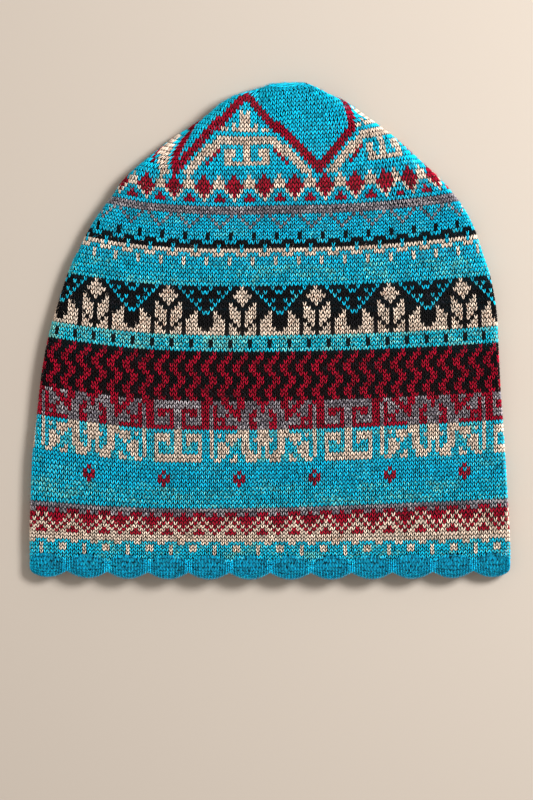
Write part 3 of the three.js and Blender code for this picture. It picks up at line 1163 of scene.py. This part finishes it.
@dataclass
class KnitBody:
    """The patterned body: every stitch of it, and the wall that they stand on."""

    form: HatForm
    workshop: Workshop
    scallops: "ScallopEdging"
    pieces: tuple[tuple[str, int, int], ...] = (
        ("border_knit", -5, 21),
        ("fret_knit", 22, 47),
        ("flower_knit", 48, 76),
        ("crown_knit", 77, 115),
    )
    leg_lean: tuple[float, ...] = (-0.02, 0.13, 0.34, 0.46)
    leg_rise: tuple[float, ...] = (-0.68, -0.16, 0.48, 1.0)
    leg_depth: tuple[float, ...] = (0.8, 0.02, 0.05, 0.85)
    yarn_radius: float = 0.275
    tone_spread: float = 0.24
    wander: float = 0.05
    wander_up: tuple[float, ...] = (0, 0.6, 0.6, 0)
    wander_along: tuple[float, ...] = (0.4, 1, 1, 0.4)
    most_wales: int = 150
    end_rise: float = 0.2
    ground_depth: float = 1.05
    ground_wall: float = 1.25
    ground_wale: int = 4
    # The wall's outer face shows this share of its yarn's colour: painted shade in the gaps between the
    # stitches.
    gap_painted_shade: float = 0.03
    inside_light: float = 0.8
    wall_start: float = -1.4
    wall_fine_from: float = 112.0
    wall_last: float = 116.5
    wall_stations: int = 320
    join_reach: float = 0.75
    nudge_reach: float = 6.0
    gather_course: float = 114.6
    gather_count: int = 36
    gather_shares: tuple[float, ...] = (0, 0.35, 0.8, 1.2)
    gather_rise: tuple[float, ...] = (-0.3, 0.3, 0.35, -0.2)
    seed: int = 7

    def build(self) -> list[bpy.types.Object]:
        """Builds all the pieces of the body.

        Returns:
            the new pieces.
        """
        random = np.random.default_rng(self.seed)
        materials = self.workshop.body_yarns()
        made = [self._knit(name, first, last, materials, random) for name, first, last in self.pieces]
        made.append(self._wall())
        for piece in made:
            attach(piece, "root")
            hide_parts("knit_body")
        return made

    def _stitches(self, course: int) -> tuple[np.ndarray, np.ndarray, np.ndarray]:
        """The wales of a course that have a stitch, the side of the darts that each is on, and its nudge.

        Args:
            course: the course.

        Returns:
            the wales, their sides and how far each moves along the course, so that the runs meet at a dart.
        """
        gauge = self.form.gauge
        left_end, right_end = (float(end) for end in self.form.reach(np.array(course + self.end_rise)))
        left_dart, right_dart = gauge.darts(course)
        half_stitch = float(gauge.pitch(course)) / 2
        wale = np.arange(-self.most_wales, self.most_wales + 1)
        spans = ((-1, left_end, left_dart), (0, left_dart, right_dart), (1, right_dart, right_end))
        runs = []
        for side, low, high in spans:
            low = max(low, left_end)
            high = min(high, right_end)
            place = gauge.along(np.full(wale.shape, float(course)), wale + 0.5, np.full(wale.shape, side))
            kept = (place > low) & (place < high)
            if not kept.any():
                continue
            inside = place[kept]
            from_low = np.arange(len(inside))
            low_share = np.clip(1 - from_low / self.nudge_reach, 0, 1)
            high_share = np.clip(1 - from_low[::-1] / self.nudge_reach, 0, 1)
            low_nudge = (low + half_stitch - inside[0]) * low_share
            high_nudge = (high - half_stitch - inside[-1]) * high_share
            runs.append((wale[kept], np.full(len(inside), side), low_nudge + high_nudge))
        if not runs:
            return np.empty(0, int), np.empty(0, int), np.empty(0)
        wales, sides, nudges = (np.concatenate(parts) for parts in zip(*runs))
        if course < 1:
            along = gauge.along(np.full(wales.shape, float(course)), wales + 0.5, sides)
            kept = self.form.gauge.height(course + self.join_reach) > -self.scallops.dip_at(along)
            wales, sides, nudges = wales[kept], sides[kept], nudges[kept]
        return wales, sides, nudges

    def _knit(
        self,
        name: str,
        first: int,
        last: int,
        materials: list[bpy.types.Material],
        random: np.random.Generator,
    ) -> bpy.types.Object:
        """Knits a run of courses.

        Args:
            name: name of the piece.
            first: its lowest course.
            last: its highest course.
            materials: materials of the yarn slots.
            random: source of the small differences between stitches.

        Returns:
            the new piece.
        """
        strands = Strands(name)
        for course in range(first, last + 1):
            wales, sides, nudges = self._stitches(course)
            if not len(wales):
                continue
            slots = np.array([yarn_of(course, int(wale)).value for wale in wales])
            wander = random.normal(0, self.wander, (2, len(wales)))
            for hand in (-1, 1):
                tone = random.normal(1.0, self.tone_spread, len(wales)).clip(*TONE_RANGE)
                self._legs(strands, course, wales, sides, nudges, slots, tone, wander, hand)
        if last == self.pieces[-1][2]:
            self._gather(strands)
        return strands.build(materials)

    def _gather(self, strands: Strands) -> None:
        """Draws the last course together over the tip with a ring of loops."""
        low, high = self.form.reach(np.array(self.gather_course))
        along = np.linspace(low, high, self.gather_count, endpoint=False)[:, None]
        rim, _ = self.form.at(np.full(along.shape, self.gather_course), along)
        top, _ = self.form.at(np.full(along.shape, self.form.last_course), along)
        shares = np.array(self.gather_shares)[None, :, None]
        up = np.array([0.0, 1.0, 0.0])
        spine = rim + (top.mean(0) - rim) * shares + up * np.array(self.gather_rise)[None, :, None]
        out = np.broadcast_to(up, spine.shape)
        slots = np.full(self.gather_count, Yarn.PLAIN.value)
        strands.add(spine, out, np.array([self.yarn_radius] * 2), slots, np.ones(self.gather_count))

    def _legs(
        self,
        strands: Strands,
        course: int,
        wales: np.ndarray,
        sides: np.ndarray,
        nudges: np.ndarray,
        slots: np.ndarray,
        tone: np.ndarray,
        wander: np.ndarray,
        hand: int,
    ) -> None:
        """Adds the left or the right legs of a course's stitches.

        Args:
            strands: the piece that they go into.
            course: the course.
            wales: the wale of each stitch.
            sides: the side of the darts that each is on.
            nudges: how far each is moved along the course.
            slots: the material slot of each.
            tone: the share of its yarn's colour of each.
            wander: how far each strays up and along, in courses and wales.
            hand: -1 for the left legs and 1 for the right.
        """
        gauge = self.form.gauge
        lean = np.array(self.leg_lean)[None] * hand
        rise = np.array(self.leg_rise)[None]
        level = course + rise + wander[0][:, None] * np.array(self.wander_up)
        wale = wales[:, None] + 0.5 + lean + wander[1][:, None] * np.array(self.wander_along)
        along = gauge.along(level, wale, np.broadcast_to(sides[:, None], wale.shape)) + nudges[:, None]
        points, normals = self.form.at(level + gauge.swing(level, along), along)
        depth = np.array(self.leg_depth)[None, :, None]
        strands.add(points - normals * depth, normals, np.array([self.yarn_radius] * 2), slots, tone)

    def _wall(self) -> bpy.types.Object:
        """The wall under the stitches, open at the brim and closed at the crown."""
        form = self.form
        plain = np.arange(0.0, self.wall_fine_from, 1.0)
        fine = np.arange(self.wall_fine_from, self.wall_last + 0.01, 0.5)
        courses = np.concatenate([[self.wall_start], plain, fine])
        share = np.linspace(0, 1, self.wall_stations, endpoint=False)[None]
        low, high = form.reach(courses)
        along = low[:, None] + (high - low)[:, None] * share
        level = np.broadcast_to(courses[:, None], along.shape).copy()
        points, normals = form.at(level, along)
        laid = points - normals * self.ground_depth
        pole = np.broadcast_to(laid[-1:].mean(1, keepdims=True), laid[-1:].shape)
        shell = shaped_grid("knit_wall", ring_closed(np.concatenate([laid, pole]), 1))
        colours = np.array([linear(FINISHES[yarn_of(int(c), self.ground_wale)].colour) for c in courses])
        merge_doubles(shell)
        self._dye(shell, courses, points, colours)
        # The outer face is darkened to painted shade, seen in the gaps; the inner face has the carried yarns.
        shell.data.materials.append(self.workshop.ground("painted shade between stitches", self.gap_painted_shade))
        shell.data.materials.append(self.workshop.ground("carried yarns", self.inside_light))
        solid = shell.modifiers.new("wall", "SOLIDIFY")
        solid.thickness = self.ground_wall * MM
        solid.offset = -1.0
        solid.material_offset = 1
        apply_modifiers(shell)
        rest_on_table(shell)
        shell.data.shade_smooth()
        return shell

    def _dye(
        self, shell: bpy.types.Object, courses: np.ndarray, points: np.ndarray, colours: np.ndarray
    ) -> None:
        """Gives the wall the colour of a yarn of the row outside it.

        Args:
            shell: the wall.
            courses: the course of each of its rows.
            points: its rows on the hat's surface.
            colours: the colour of each row.
        """
        mesh = shell.data
        places = np.empty(len(mesh.vertices) * 3, np.float32)
        mesh.vertices.foreach_get("co", places)
        height = places.reshape(-1, 3)[:, 1] / MM
        middle = points[:, points.shape[1] // 2, 1]
        row = np.clip(np.interp(height, middle, np.arange(len(courses))), 0, len(courses) - 1).astype(int)
        attribute = mesh.attributes.new("ground", "FLOAT_COLOR", "POINT")
        attribute.data.foreach_set("color", colours[row].astype(np.float32).ravel())


@dataclass
class ScallopEdging:
    """The rolled edging of plain knit, drawn in at each notch so that it puffs into scallops."""

    form: HatForm
    workshop: Workshop
    count: int = 24
    depth: float = 12.6
    wall: float = 2.2
    full_wall: float = 2.9
    least_wall: float = 0.2
    notch_depth: float = 3.6
    notch_pinch: float = 1.1
    dip: float = 3.0
    gap: float = 0.3
    wales_each: int = 13
    courses_out: int = 10
    courses_in: int = 5
    fan: float = 0.12
    yarn_radius: float = 0.26
    ridge_radius: float = 0.36
    ridge_tone: float = 1.3
    tone_spread: float = 0.24
    recess: float = 0.7
    recess_end: float = 0.2
    leg_lean: tuple[float, ...] = (0.36, 0.3, 0.2, 0.14)
    leg_drop: tuple[float, ...] = (-0.6, -0.1, 0.6, 1.15)
    leg_depth: tuple[float, ...] = (0.5, 0.06, 0.08, 0.55)
    rim_course: int = 8
    rim_length: float = 0.5
    wander: float = 0.13
    seed: int = 11
    ground_depth: float = 0.6
    wall_each: int = 8
    wall_rows: int = 15
    section_down: tuple[float, ...] = (0, 0.3, 0.6, 0.8, 0.92, 0.98, 1, 0.98, 0.92, 0.8, 0.6, 0.3, 0)
    section_out: tuple[float, ...] = (
        *(0.5, 0.5, 0.49, 0.44, 0.33, 0.17, 0),
        *(-0.17, -0.33, -0.44, -0.49, -0.5, -0.5),
    )
    up_step: float = 0.02
    side_step: float = 0.3
    # The edging's wall shows this share of the edging yarn's colour: painted shade between its stitches.
    inside_light: float = 0.08

    def _from_middle(self, along: np.ndarray) -> np.ndarray:
        """How far a place round the seam is from the middle of its scallop, -1 to 1 between its notches."""
        low, high = self.form.reach(np.array(self.seam_course))
        share = (along - low) / (high - low) * self.count
        return 2 * (share - np.floor(share)) - 1

    @property
    def seam_course(self) -> float:
        """The course, as a real number, at the height of the seam."""
        gauge = self.form.gauge
        return float(np.interp(-gauge.course_line, gauge.heights, gauge.courses))

    def dip_at(self, along: np.ndarray) -> np.ndarray:
        """How far the seam dips at a place round it."""
        return self.dip * self._from_middle(along) ** 2

    def surface(self, along: np.ndarray, around: np.ndarray, inset: float = 0.0) -> np.ndarray:
        """Points of the edging.

        Args:
            along: distance round the seam from the front centre.
            around: place on the section, 0 at the outer seam, 1 at the tip and 2 at the inner seam.
            inset: how far inside the surface they lie.

        Returns:
            the points there.
        """
        steps = np.linspace(0, 2, len(self.section_down))
        down = np.interp(around, steps, self.section_down)
        out = np.interp(around, steps, self.section_out)
        hollow = self._from_middle(along) ** 2
        seam, normal = self.form.at(np.full(along.shape, self.seam_course), along)
        normal = unit(normal * [1, 0, 1])
        depth = self.depth - self.gap - (self.notch_depth + self.dip) * hollow - inset
        sunk = self.recess * (1 - np.clip(np.minimum(around, 2 - around) / self.recess_end, 0, 1))
        thickness = np.maximum(self.full_wall - self.notch_pinch * hollow - sunk - 2 * inset, self.least_wall)
        place = seam + normal * (out * thickness - self.wall / 2)[..., None]
        place[..., 1] -= self.dip * hollow + self.gap + down * depth
        place[..., 2] = np.maximum(place[..., 2], 0)
        return place

    def _lattice(self, wale: np.ndarray, course: np.ndarray) -> tuple[np.ndarray, np.ndarray]:
        """Finds places on the edging's stitches.

        Args:
            wale: wales, as real numbers.
            course: courses, as real numbers, counted from the outer seam to the tip and round it.

        Returns:
            the points and the outward directions there.
        """
        low, high = self.form.reach(np.array(self.seam_course))
        each = (high - low) / self.count
        share = wale / self.wales_each
        middle = np.floor(share) + 0.5
        around = course / self.courses_out
        tip = 2 * (share - middle)
        drawn_in = 1 - self.fan * (1 - np.clip(around, 0, 1)) * (1 - tip * tip)
        along = low + (middle + (share - middle) * drawn_in) * each
        point = self.surface(along, around)
        up = self.surface(along, around - self.up_step) - self.surface(along, around + self.up_step)
        side = self.surface(along + self.side_step, around) - self.surface(along - self.side_step, around)
        return point, unit(np.cross(side, up))

    def build(self) -> list[bpy.types.Object]:
        """Builds the edging's stitches and the wall under them.

        Returns:
            the new pieces.
        """
        random = np.random.default_rng(self.seed)
        strands = Strands("edging_knit")
        wales = np.arange(self.count * self.wales_each)
        beside_notch = (wales + 1) % self.wales_each < 2
        radius = np.where(beside_notch, self.ridge_radius, self.yarn_radius)[:, None]
        ridge = np.where(beside_notch, self.ridge_tone, 1.0)
        for course in range(self.courses_out + self.courses_in):
            slots = np.zeros(len(wales), int)
            for hand in (-1, 1):
                tone = random.normal(1.0, self.tone_spread, len(wales)).clip(*TONE_RANGE)
                wale = wales[:, None] + 0.5 + np.array(self.leg_lean)[None] * hand
                length = self.rim_length if course == self.rim_course else 1.0
                shifted = random.normal(0, self.wander, len(wales))[:, None]
                level = course + shifted + np.array(self.leg_drop)[None] * length
                point, normal = self._lattice(wale, level)
                low = point - normal * np.array(self.leg_depth)[None, :, None]
                strands.add(low, normal, radius, slots, tone * ridge)
        knit = strands.build([self.workshop.yarn(FINISHES[Yarn.EDGING])])
        made = [knit, self._wall()]
        for piece in made:
            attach(piece, "root")
            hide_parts("scalloped_edging")
        return made

    def _wall(self) -> bpy.types.Object:
        """The wall under the edging's stitches, darkened to painted shade where it shows between them."""
        low, high = self.form.reach(np.array(self.seam_course))
        along = np.linspace(low, high, self.count * self.wall_each, endpoint=False)[None]
        around = np.linspace(0, 2, self.wall_rows)[::-1][:, None]
        along, around = np.broadcast_arrays(along, around)
        laid = self.surface(along.copy(), around.copy(), self.ground_depth)
        shell = shaped_grid("edging_wall", ring_closed(ring_closed(laid, 1), 0))
        merge_doubles(shell)
        mesh = shell.data
        attribute = mesh.attributes.new("ground", "FLOAT_COLOR", "POINT")
        colours = np.tile(linear(FINISHES[Yarn.EDGING].colour), (len(mesh.vertices), 1))
        attribute.data.foreach_set("color", colours.astype(np.float32).ravel())
        # Painted shade: the edging yarn's colour at a small share.
        mesh.materials.append(self.workshop.ground("edging painted shade", self.inside_light))
        mesh.shade_smooth()
        return shell


@dataclass
class Halo:
    """Loose alpaca fibres that stand a little proud of the knit."""

    form: HatForm
    workshop: Workshop
    count: int = 7000
    length: tuple[float, float] = (1.6, 4.2)
    rise: tuple[float, float] = (0.25, 1.1)
    bend: float = 0.25
    tones: tuple[float, float] = (0.8, 1.1)
    step_shares: tuple[float, ...] = (-0.5, -0.17, 0.17, 0.5)
    lift_shares: tuple[float, ...] = (-0.4, 0.7, 1.0, 0.8)
    fibre_radius: float = 0.035
    courses: tuple[float, float] = (0.0, 115.0)
    seed: int = 23

    def build(self) -> list[bpy.types.Object]:
        """Builds the fibres, in one piece.

        Returns:
            the new piece, in a list.
        """
        random = np.random.default_rng(self.seed)
        level = random.uniform(*self.courses, self.count)
        low, high = self.form.reach(level)
        along = low + (high - low) * random.uniform(0, 1, self.count)
        heading = random.uniform(0, 2 * np.pi, self.count)
        length = random.uniform(*self.length, self.count)
        rise = random.uniform(*self.rise, self.count)
        step = np.array(self.step_shares)[None] * length[:, None]
        bend = random.normal(0, self.bend, (self.count, 1)) * step**2
        pitch = self.form.gauge.pitch(level)[:, None]
        right = step * np.cos(heading)[:, None] - bend * np.sin(heading)[:, None]
        up = (step * np.sin(heading)[:, None] + bend * np.cos(heading)[:, None]) / pitch
        points, normals = self.form.at(level[:, None] + up, along[:, None] + right)
        lift = np.array(self.lift_shares)[None] * rise[:, None]
        strands = Strands("loose_fibres")
        yarns = [yarn_of(int(c), int(a // p)) for c, a, p in zip(level, along, pitch[:, 0])]
        slots = np.array([yarn.value for yarn in yarns])
        tone = random.uniform(*self.tones, self.count)
        radius = np.array([self.fibre_radius] * 2)
        strands.add(points + normals * lift[..., None], normals, radius, slots, tone)
        piece = strands.build(self.workshop.body_yarns())
        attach(piece, "root")
        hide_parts("knit_body")
        return [piece]


@dataclass(frozen=True)
class Softbox:
    """A square soft light that faces the hat.

    Args:
        name: its name.
        place: where it stands, from the middle of the table.
        size: length of its side, in metres.
        power: its power, in watts.
        colour: its colour, as linear numbers.
    """

    name: str
    place: tuple[float, float, float]
    size: float
    power: float
    colour: tuple[float, float, float]


@dataclass
class Studio:
    """The plain table, the soft light and the camera straight above."""

    aim_x: float = -1.75
    aim_y: float = -34.25
    aim_z: float = 12.0
    frame_height: float = 400.0
    distance: float = 2600.0
    sensor: float = 36.0
    far_end: float = 20.0
    floor_size: float = 6.0
    floor_colour: tuple[int, int, int] = (190, 179, 167)
    floor_roughness: float = 0.9
    sky_colour: tuple[float, ...] = (1.0, 0.93, 0.86, 1.0)
    sky_strength: float = 0.44
    softboxes: tuple[Softbox, ...] = (
        Softbox("key", (700, 340, 880), 0.38, 17.2, (1.0, 1.0, 1.0)),
        Softbox("fill", (-1100, -300, 1500), 1.6, 4.2, (1.0, 0.95, 0.9)),
    )

    def build(self) -> None:
        """Builds the table, the lights, the world and the camera."""
        self._table()
        for softbox in self.softboxes:
            self._light(softbox)
        world = bpy.data.worlds.new("studio")
        bpy.context.scene.world = world
        world.use_nodes = True
        world.node_tree.nodes["Background"].inputs["Color"].default_value = self.sky_colour
        world.node_tree.nodes["Background"].inputs["Strength"].default_value = self.sky_strength
        bpy.context.scene.view_settings.view_transform = "Standard"
        self._camera()

    def _table(self) -> None:
        """A plain pale table top."""
        deselect_all()
        bpy.ops.mesh.primitive_plane_add(size=self.floor_size, location=(0, 0, 0))
        table = bpy.context.object
        table.name = "table_top"
        material = bpy.data.materials.new("pale table")
        material.use_nodes = True
        shader = material.node_tree.nodes["Principled BSDF"]
        shader.inputs["Base Color"].default_value = linear(self.floor_colour)
        shader.inputs["Roughness"].default_value = self.floor_roughness
        table.data.materials.append(material)

    def _light(self, softbox: Softbox) -> None:
        """Sets up one soft light, facing the hat."""
        data = bpy.data.lights.new(softbox.name, "AREA")
        data.size = softbox.size
        data.energy = softbox.power
        data.color = softbox.colour
        lamp = bpy.data.objects.new(softbox.name, data)
        bpy.context.scene.collection.objects.link(lamp)
        lamp.location = Vector(softbox.place) * MM
        lamp.rotation_euler = (-lamp.location).to_track_quat("-Z", "Y").to_euler()

    def _camera(self) -> None:
        """A long lens straight above the hat."""
        data = bpy.data.cameras.new("camera")
        data.sensor_width = self.sensor
        data.lens = self.sensor * self.distance / self.frame_height
        data.clip_end = self.far_end
        camera = bpy.data.objects.new("camera", data)
        bpy.context.scene.collection.objects.link(camera)
        camera.location = Vector((self.aim_x, self.aim_y, self.aim_z + self.distance)) * MM
        bpy.context.scene.camera = camera


def main() -> None:
    """Builds the hat and its studio."""
    logging.basicConfig(level=logging.INFO, format="%(message)s")
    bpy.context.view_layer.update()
    form = HatForm(Gauge())
    workshop = Workshop()
    edging = ScallopEdging(form, workshop)
    made = KnitBody(form, workshop, edging).build() + edging.build() + Halo(form, workshop).build()
    for piece in made:
        faces = sum(len(face.vertices) - 2 for face in piece.data.polygons)
        LOG.info("%s: %d triangles", piece.name, faces)
    Studio().build()


if __name__ == "__main__":
    main()
